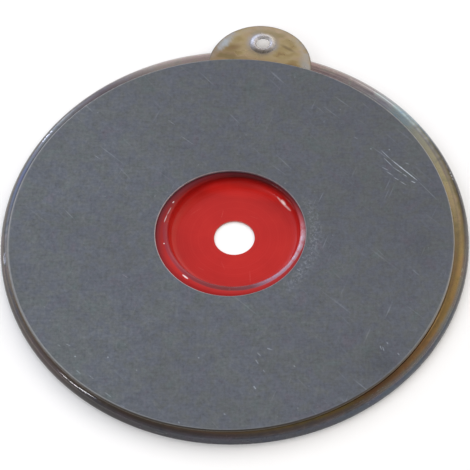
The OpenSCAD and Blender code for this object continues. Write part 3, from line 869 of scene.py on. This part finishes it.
def nickel_material():
    N = Nodes("nickel_bright")
    x, y, z = N.parts()
    p = N.xyz()
    n = N.noise(p, 0.8, 3.0, 0.6)
    col = N.ramp(n, [(0.3, (0.56, 0.56, 0.60)), (0.6, (0.78, 0.78, 0.82)), (0.8, (0.68, 0.64, 0.60))])
    r = N.vec("LENGTH", N.vec("SUBTRACT", N.join(x, y, 0.0), (0.0, EYE_C, 0.0)))
    # painted highlight and shade by the turn round the hole; the outer part takes on the tab's yellow and its halo
    outer = N.math("ADD", r, N.math("MULTIPLY", N.math("SUBTRACT", N.noise(p, 0.9, 3.0, 0.6), 0.5), 1.6))
    ex, ey = N.math("SUBTRACT", x, 0.0), N.math("SUBTRACT", y, EYE_C)
    turn = N.math("MULTIPLY_ADD", N.math("ARCTAN2", ey, ex), 1.0 / TAU, 0.5)
    col = N.mix(1.0, col, N.ramp(turn, [(0.0, (1.20, 1.20, 1.24)), (0.10, (0.85, 0.80, 0.74)), (0.27, (0.78, 0.71, 0.62)), (0.38, (0.88, 0.84, 0.80)), (0.50, (1.10, 1.10, 1.14)), (0.62, (1.05, 1.00, 0.90)), (0.76, (1.25, 1.20, 1.12)), (0.86, (1.25, 1.25, 1.30)), (1.0, (1.20, 1.20, 1.24))]), "MULTIPLY")
    col = N.mix(N.remap(outer, 2.9, 4.3, 0.0, 0.9, True), col, N.ramp(turn, [(0.0, (0.44, 0.42, 0.42)), (0.16, (0.24, 0.20, 0.15)), (0.30, (0.22, 0.19, 0.15)), (0.44, (0.40, 0.38, 0.38)), (0.58, (0.40, 0.34, 0.24)), (0.75, (0.36, 0.29, 0.17)), (0.90, (0.48, 0.47, 0.48)), (1.0, (0.44, 0.42, 0.42))]))
    # painted shade: a dark ring at the edge of the bore, on the left and lower side
    inner = N.math("MULTIPLY", N.remap(r, 2.95, 2.60, 0.0, 0.75, True), N.remap(r, 2.36, 2.50, 0.0, 1.0, True))
    inner = N.math("MULTIPLY", inner, N.ramp(turn, [(0.0, (0.7,) * 3), (0.10, (1.0,) * 3), (0.30, (1.0,) * 3), (0.42, (0.8,) * 3), (0.52, (0.2,) * 3), (0.60, (0.0,) * 3), (0.88, (0.0,) * 3), (1.0, (0.7,) * 3)]))
    col = N.mix(inner, col, (0.16, 0.12, 0.09))
    # painted light: the bore wall nearly white
    col = N.mix(N.remap(r, 2.44, 2.38, 0.0, 1.0, True), col, (0.86, 0.86, 0.87))
    # the bore is tarnished in spots
    tar = N.remap(N.noise(p, 2.5, 3.0, 0.6), 0.55, 0.75, 0.0, 0.3)
    col = N.mix(N.math("MULTIPLY", tar, N.remap(r, 2.40, 2.55)), col, (0.26, 0.22, 0.17))
    rough = N.remap(n, 0.3, 0.7, 0.22, 0.34)
    b = N.bump(N.noise(p, 1.2, 3.0, 0.6), 0.02, 0.5)
    return N.finish(Base_Color=col, Metallic=0.70, Roughness=rough, Normal=b)


def red_material():
    N = Nodes("red_gloss_paint")
    x, y, z = N.parts()
    p = N.xyz()
    flat = N.join(x, y, 0.0)
    r = N.vec("LENGTH", flat)
    broad = N.noise(p, 0.09, 3.0, 0.55, 0.5)
    fine = N.noise(p, 1.6, 3.0, 0.6)
    col = N.ramp(broad, [(0.30, (0.430, 0.0080, 0.0055)), (0.52, (0.465, 0.0095, 0.0065)), (0.72, (0.485, 0.0130, 0.0080))])
    col = N.mix(N.remap(fine, 0.50, 0.8, 0.0, 0.30), col, (0.38, 0.010, 0.010))
    # faint pressing rings in the floor
    ring = N.noise(N.join(r, 0.0, 0.0), 1.6, 2.0, 0.6)
    col = N.mix(N.remap(ring, 0.48, 0.75, 0.0, 0.22), col, (0.56, 0.045, 0.035))
    # painted light: the floor lighter next to the far wall
    yy = N.vec("DOT_PRODUCT", flat, (0.05, 1.0, 0.0))
    far = N.math("MULTIPLY", N.remap(yy, 14.5, 18.0, 0.0, 0.28, True), N.remap(yy, 20.8, 18.6, 0.0, 1.0, True))
    far = N.math("MULTIPLY", far, N.remap(z, 4.2, 2.2, 0.0, 1.0, True))
    col = N.vec("SCALE", col, scale=N.math("ADD", 1.0, far))
    segs = [(-4.9, 10.2, -5.2, 7.2, 0.20, 0.28), (6.5, -12.0, 7.2, -16.5, 0.22, 0.20), (-3.0, -9.5, -1.4, -12.5, 0.20, 0.14),
            (-15.5, 7.0, -12.0, 10.5, 0.22, 0.14), (4.0, 9.0, 7.0, 8.0, 0.2, 0.14), (-10.0, -12.5, -8.0, -13.5, 0.25, 0.16)]
    scuff = lines(N, segs, flat)
    scuff = N.math("MULTIPLY", scuff, N.remap(N.noise(flat, 2.0, 2.0, 0.6), 0.3, 0.65, 0.2, 1.0))
    col = N.mix(scuff, col, (0.60, 0.22, 0.20))
    # paint rubbed thin on the rounded lip, where the metal shows through, coloured round the lip with painted
    # reflections: lavender white on the right, dark at the bottom, purple at the lower left
    w = N.math("ADD", r, N.math("MULTIPLY", N.math("SUBTRACT", N.noise(p, 0.8, 3.0, 0.6), 0.5), 0.35))
    u = turn_of(N, x, y)
    wide = N.ramp(u, [(0.00, (0.10,) * 3), (0.12, (0.45,) * 3), (0.20, (0.80,) * 3), (0.30, (0.80,) * 3), (0.36, (0.45,) * 3), (0.42, (0.10,) * 3), (1.0, (0.10,) * 3)])
    w = N.math("SUBTRACT", w, N.math("MULTIPLY", wide, 0.9))
    w = N.math("SUBTRACT", w, N.math("MULTIPLY", N.remap(u, 0.44, 0.50, 0.0, 0.35, True), N.remap(u, 0.58, 0.53, 0.0, 1.0, True)))
    lip = N.math("MULTIPLY", N.remap(w, 22.85, 22.35, 0.0, 1.0), N.remap(z, 4.15, 4.55, 0.0, 1.0))
    where = N.ramp(u, [(0.00, (0.30,) * 3), (0.06, (0.45,) * 3), (0.12, (0.60,) * 3), (0.30, (0.85,) * 3), (0.40, (1.0,) * 3), (0.50, (1.0,) * 3), (0.545, (0.45,) * 3), (0.60, (0.15,) * 3), (0.68, (0.0,) * 3), (0.90, (0.0,) * 3), (1.00, (0.30,) * 3)])
    patchy = N.remap(N.noise(p, 0.55, 3.0, 0.65), 0.36, 0.56, 0.40, 1.0)
    side = N.math("MULTIPLY", N.remap(u, 0.33, 0.37, 0.0, 1.0), N.remap(u, 0.56, 0.53, 0.0, 1.0))
    where = N.math("MULTIPLY", where, N.math("ADD", N.math("MULTIPLY", patchy, side), N.math("SUBTRACT", 1.0, side)))
    lip = N.math("MULTIPLY", lip, where)
    worn_and_reflection_col = N.ramp(u, [(0.05, (0.30, 0.08, 0.13)), (0.18, (0.16, 0.05, 0.065)), (0.25, (0.11, 0.045, 0.047)), (0.31, (0.14, 0.07, 0.085)), (0.36, (0.42, 0.30, 0.42)), (0.44, (0.66, 0.50, 0.60)), (0.50, (1.0, 0.72, 0.82)), (0.55, (0.72, 0.28, 0.32)), (0.60, (0.40, 0.08, 0.09))])
    col = N.mix(N.math("MULTIPLY", lip, 0.92), col, worn_and_reflection_col)
    metal = N.math("MULTIPLY", lip, 0.45)
    # painted shade on the far wall, under the far edge of the face plate
    painted_far_shade = N.math("MULTIPLY", N.remap(z, 1.7, 4.5, 0.0, 1.0), N.ramp(u, [(0.545, (0.0,) * 3), (0.60, (0.62,) * 3), (0.68, (1.0,) * 3), (0.77, (1.0,) * 3), (0.84, (0.62,) * 3), (0.92, (0.25,) * 3), (0.98, (0.0,) * 3)]))
    painted_far_shade = N.math("MULTIPLY", painted_far_shade, N.remap(r, 20.2, 21.0))
    col = N.mix(N.math("MULTIPLY", painted_far_shade, 0.90), col, (0.030, 0.006, 0.007))
    # painted shade on the flange and lip at the upper left, the left and the lower left
    painted_left_shade = N.math("MULTIPLY", N.remap(u, 0.80, 0.88, 0.0, 0.30, True), N.remap(z, 4.9, 5.3, 0.0, 1.0, True))
    painted_left_shade = N.math("MAXIMUM", painted_left_shade, N.math("MULTIPLY", N.remap(u, 0.12, 0.04, 0.0, 0.26, True), N.remap(z, 4.9, 5.3, 0.0, 1.0, True)))
    col = N.vec("SCALE", col, scale=N.math("SUBTRACT", 1.0, painted_left_shade))
    # painted shade in the corner between the flange and the plate's edge
    rb = N.vec("LENGTH", N.vec("SUBTRACT", flat, (BORE_C[0], BORE_C[1], 0.0)))
    painted_corner_shade = N.math("MULTIPLY", N.remap(rb, 21.2, 23.5, 0.0, 1.0), N.ramp(u, [(0.00, (0.88,) * 3), (0.08, (0.55,) * 3), (0.20, (0.45,) * 3), (0.38, (0.50,) * 3), (0.50, (0.55,) * 3), (0.58, (0.35,) * 3), (0.80, (0.75,) * 3), (0.88, (1.0,) * 3), (0.95, (1.0,) * 3), (1.00, (0.88,) * 3)]))
    painted_corner_shade = N.math("MULTIPLY", painted_corner_shade, N.remap(z, 5.0, 5.3, 0.0, 1.0))
    col = N.mix(N.math("MULTIPLY", painted_corner_shade, 0.85), col, (0.100, 0.012, 0.020))
    # painted highlights: glints on the flange, and a long glint low on the far wall
    flange_glints = lines(N, [(-13.9, -19.0, -11.9, -20.4, 0.42, 1.0), (-22.6, 0.1, -22.1, 3.0, 0.26, 0.55), (-22.1, 3.0, -21.2, 6.2, 0.24, 0.40), (-21.0, 7.8, -20.6, 8.6, 0.30, 0.80), (-21.5, -8.2, -21.3, -7.8, 0.34, 0.90)], flat)
    col = N.mix(N.math("MULTIPLY", flange_glints, N.remap(z, 4.9, 5.2)), col, (0.90, 0.78, 0.80))
    painted_wall_glint = lines(N, [(13.2, 15.6, 15.0, 13.8, 0.55, 1.0), (11.8, 16.8, 17.0, 11.6, 0.42, 0.48)], flat)
    painted_wall_glint = N.math("MULTIPLY", painted_wall_glint, N.remap(z, 3.2, 2.6))
    col = N.mix(painted_wall_glint, col, (1.0, 0.80, 0.76))
    # chips round the hole
    chip = N.math("ADD", N.remap(r, 6.80, 6.50, 0.0, 1.0), N.math("MULTIPLY", N.math("SUBTRACT", N.noise(p, 1.7, 3.0, 0.65), 0.5), 1.2))
    chip = N.remap(chip, 0.62, 0.74, 0.0, 0.55)
    col = N.mix(chip, col, (0.42, 0.24, 0.20))
    rough = N.remap(broad, 0.3, 0.7, 0.34, 0.42)
    rough = N.math("SUBTRACT", rough, N.math("MULTIPLY", lip, 0.16))
    rough = N.math("ADD", rough, N.math("MULTIPLY", scuff, 0.3))
    b = N.bump(N.noise(p, 0.55, 2.0, 0.5), 0.008, 0.6)
    b = N.bump(N.noise(p, 2.6, 2.0, 0.5), 0.0014, 0.6, b)
    b = N.bump(N.math("SUBTRACT", 0.0, chip), 0.02, 0.7, b)
    return N.finish(Base_Color=col, Metallic=metal, Roughness=rough, Normal=b, IOR=1.30, Coat_Weight=0.5, Coat_Roughness=0.05, Coat_IOR=1.45)


def simple_material(name, a, b_, rough_lo, rough_hi, metallic, scale=0.4, bump=0.01, grain=None):
    N = Nodes(name)
    p = N.xyz()
    n = N.noise(p, scale, 4.0, 0.6, 0.4)
    f = N.noise(p, scale * 7, 3.0, 0.6)
    col = N.mix(N.remap(n, 0.3, 0.7), a, b_)
    col = N.mix(N.remap(f, 0.58, 0.8, 0.0, 0.4), col, tuple(v * 0.6 for v in a))
    rough = N.remap(n, 0.3, 0.7, rough_lo, rough_hi)
    h = f
    if grain == "turned":
        x, y, z = N.parts()
        r = N.vec("LENGTH", N.join(x, y, 0.0))
        h = N.noise(N.join(r, N.math("MULTIPLY", z, 0.2), 0.0), 5.0, 3.0, 0.7)
        col = N.mix(N.remap(h, 0.5, 0.75, 0.0, 0.25), col, tuple(min(1.0, v * 1.35) for v in b_))
    if grain == "sheet":
        h = N.noise(N.turned(35.0, (22.0, 0.5, 1.0)), 1.0, 3.0, 0.6)
        col = N.mix(N.remap(h, 0.55, 0.78, 0.0, 0.3), col, tuple(min(1.0, v * 1.4) for v in b_))
    bb = N.bump(h, bump, 0.6)
    return N.finish(Base_Color=col, Metallic=metallic, Roughness=rough, Normal=bb)


MAT = {
    "face_steel": face_material(),
    "rim_plating": rim_material(),
    "tab_plating": tab_material(),
    "nickel": nickel_material(),
    "red_coating": red_material(),
    "adhesive": simple_material("cured_adhesive", (0.030, 0.028, 0.026), (0.055, 0.050, 0.046), 0.55, 0.75, 0.0, 0.6, 0.03),
    "pole_steel": simple_material("turned_steel", (0.26, 0.26, 0.27), (0.36, 0.36, 0.36), 0.30, 0.42, 1.0, 0.3, 0.006, "turned"),
    "ferrite": simple_material("ground_ferrite", (0.045, 0.045, 0.048), (0.070, 0.070, 0.074), 0.45, 0.60, 0.15, 0.35, 0.008, "sheet"),
    "resin": simple_material("casting_resin", (0.015, 0.015, 0.015), (0.030, 0.030, 0.030), 0.25, 0.40, 0.0, 0.5, 0.02),
    "back_plating": simple_material("yellow_plating_back", (0.44, 0.37, 0.20), (0.52, 0.45, 0.30), 0.28, 0.42, 1.0, 0.12, 0.006, "sheet"),
    "rivet_steel": simple_material("rivet_steel", (0.42, 0.42, 0.41), (0.56, 0.56, 0.55), 0.28, 0.40, 1.0, 0.6, 0.01),
}


def give(ob, mat):
    ob.data.materials.clear()
    ob.data.materials.append(mat)


give(face, MAT["face_steel"])
give(shell, MAT["rim_plating"])
give(tab, MAT["tab_plating"])
give(eyelet, MAT["nickel"])
give(dish, MAT["red_coating"])
for piece, node, slot in (
    (face, "face_plate", "face_steel"),
    (shell, "rim_shell", "yellow_plating"),
    (tab, "hang_tab", "yellow_plating"),
    (eyelet, "tab_eyelet", "nickel"),
    (dish, "centre_dish", "red_coating"),
):
    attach(piece, "root")
    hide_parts(node)

kept = {"bond_ring": "adhesive", "inner_pole_ring": "pole_steel", "outer_pole_ring": "pole_steel", "potting": "resin",
        "back_plate": "back_plating", "back_rivets": "rivet_steel"}
for i in range(1, 13):
    kept["magnet_%02d" % i] = "ferrite"
for node, key in kept.items():
    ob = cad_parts[node]
    for s in range(max(1, len(ob.material_slots))):
        if len(ob.material_slots) == 0:
            ob.data.materials.append(MAT[key])
        else:
            ob.material_slots[s].material = MAT[key]

# ---------------------------------------------------------------- floor and light
def floor_material():
    N = Nodes("pale_floor")
    p = N.xyz()
    n = N.noise(p, 0.004, 2.0, 0.5)
    col = N.ramp(n, [(0.3, (0.950, 0.950, 0.952)), (0.7, (0.965, 0.965, 0.967))])
    return N.finish(Base_Color=col, Metallic=0.0, Roughness=0.75)


me = bpy.data.meshes.new("floor")
F = 4.0
me.from_pydata([(-F, -F, 0), (F, -F, 0), (F, F, 0), (-F, F, 0)], [], [(0, 1, 2, 3)])
floor = bpy.data.objects.new("floor", me)
floor.location = (0, 0, -0.00005)
scene.collection.objects.link(floor)
floor.data.materials.append(floor_material())


def panel(name, direction, distance, size, watts, colour=(1, 1, 1), spread=180.0, size_y=None):
    """Soft rectangular light in that direction from the object, facing it."""
    d = Vector(direction).normalized()
    ld = bpy.data.lights.new(name, "AREA")
    ld.shape = "RECTANGLE"
    ld.size = size
    ld.size_y = size_y if size_y is not None else size
    ld.energy = watts
    ld.color = colour
    ld.spread = math.radians(spread)
    ob = bpy.data.objects.new(name, ld)
    ob.location = d * distance
    ob.rotation_euler = d.to_track_quat("Z", "Y").to_euler()
    scene.collection.objects.link(ob)
    return ob


for key in (
    panel("overhead", (0.05, 0.50, 0.85), 1.15, 1.1, 5.6, (1.0, 0.99, 0.975)),
    panel("front", (0.09, -0.55, 0.83), 1.35, 0.42, 5.1, (1.0, 1.0, 1.0)),
    panel("fill_front", (-0.52, -0.66, 0.52), 1.1, 0.8, 3.1, (0.97, 0.98, 1.0)),
    panel("fill_left", (-0.70, 0.30, 0.62), 1.1, 0.8, 1.8, (0.94, 0.97, 1.0)),
    panel("fill_right", (0.75, 0.22, 0.62), 1.1, 0.8, 1.9, (1.0, 0.97, 0.92)),
):
    key.visible_glossy = False
panel("window", (-0.61, 0.775, 0.17), 1.0, 0.16, 0.14, (0.86, 0.90, 1.0), size_y=0.07)
for i, (d, w_) in enumerate((((-0.842, -0.452, 0.297), 0.030), ((-0.800, -0.512, 0.312), 0.027), ((-0.775, -0.531, 0.342), 0.027), ((-0.745, -0.538, 0.393), 0.027), ((-0.712, -0.542, 0.447), 0.027), ((-0.682, -0.552, 0.480), 0.018))):
    panel("strip_%d" % i, d, 0.9, 0.035, w_ * 1.1, (0.86, 0.96, 1.08), size_y=0.035)

world = bpy.data.worlds.new("studio")
scene.world = world
world.use_nodes = True
nt = world.node_tree
nt.nodes.clear()
wo = nt.nodes.new("ShaderNodeOutputWorld")
bg = nt.nodes.new("ShaderNodeBackground")
nt.links.new(bg.outputs[0], wo.inputs[0])
tc = nt.nodes.new("ShaderNodeTexCoord")
way = nt.nodes.new("ShaderNodeVectorMath")
way.operation = "NORMALIZE"
nt.links.new(tc.outputs["Generated"], way.inputs[0])


def patch_of(direction, inner, outer):
    """1 inside a round patch of the sky, 0 outside it, angles in degrees from its middle."""
    d = nt.nodes.new("ShaderNodeVectorMath")
    d.operation = "DOT_PRODUCT"
    nt.links.new(way.outputs[0], d.inputs[0])
    d.inputs[1].default_value = Vector(direction).normalized()
    n = nt.nodes.new("ShaderNodeMapRange")
    n.interpolation_type = "SMOOTHSTEP"
    nt.links.new(d.outputs["Value"], n.inputs["Value"])
    n.inputs["From Min"].default_value = math.cos(math.radians(outer))
    n.inputs["From Max"].default_value = math.cos(math.radians(inner))
    return n.outputs[0]


def plus(f, a, colour):
    n = nt.nodes.new("ShaderNodeMix")
    n.data_type = "RGBA"
    n.blend_type = "ADD"
    nt.links.new(f, n.inputs[0])
    nt.links.new(a, n.inputs[6])
    n.inputs[7].default_value = colour + (1.0,)
    return n.outputs[2]


# dim room, brown overhead and grey-blue low in front
sep = nt.nodes.new("ShaderNodeSeparateXYZ")
nt.links.new(way.outputs[0], sep.inputs[0])
rise_ = nt.nodes.new("ShaderNodeValToRGB")
el = rise_.color_ramp.elements
el[0].position, el[0].color = 0.0, (0.30, 0.31, 0.35, 1.0)
el[1].position, el[1].color = 1.0, (0.125, 0.112, 0.105, 1.0)
for pos, c in ((0.16, (0.26, 0.26, 0.29, 1.0)), (0.45, (0.125, 0.11, 0.10, 1.0))):
    e = el.new(pos)
    e.color = c
nt.links.new(sep.outputs[2], rise_.inputs[0])
sky = rise_.outputs[0]
for direction, inner, outer, colour in (
    ((-0.66, 0.70, 0.27), 8, 24, (0.45, 0.52, 0.70)),
    ((-0.62, 0.72, 0.32), 15, 62, (0.28, 0.33, 0.44)),
    ((0.00, 0.95, 0.25), 10, 55, (0.24, 0.21, 0.20)),
    ((0.26, 0.86, 0.44), 5, 16, (0.25, 0.30, 0.38)),
    ((0.60, 0.70, 0.38), 14, 50, (0.50, 0.46, 0.38)),
    ((0.95, 0.20, 0.25), 10, 50, (0.24, 0.21, 0.17)),
    ((-0.95, 0.00, 0.30), 10, 50, (0.14, 0.14, 0.15)),
):
    sky = plus(patch_of(direction, inner, outer), sky, colour)
nt.links.new(sky, bg.inputs["Color"])
bg.inputs["Strength"].default_value = 1.0
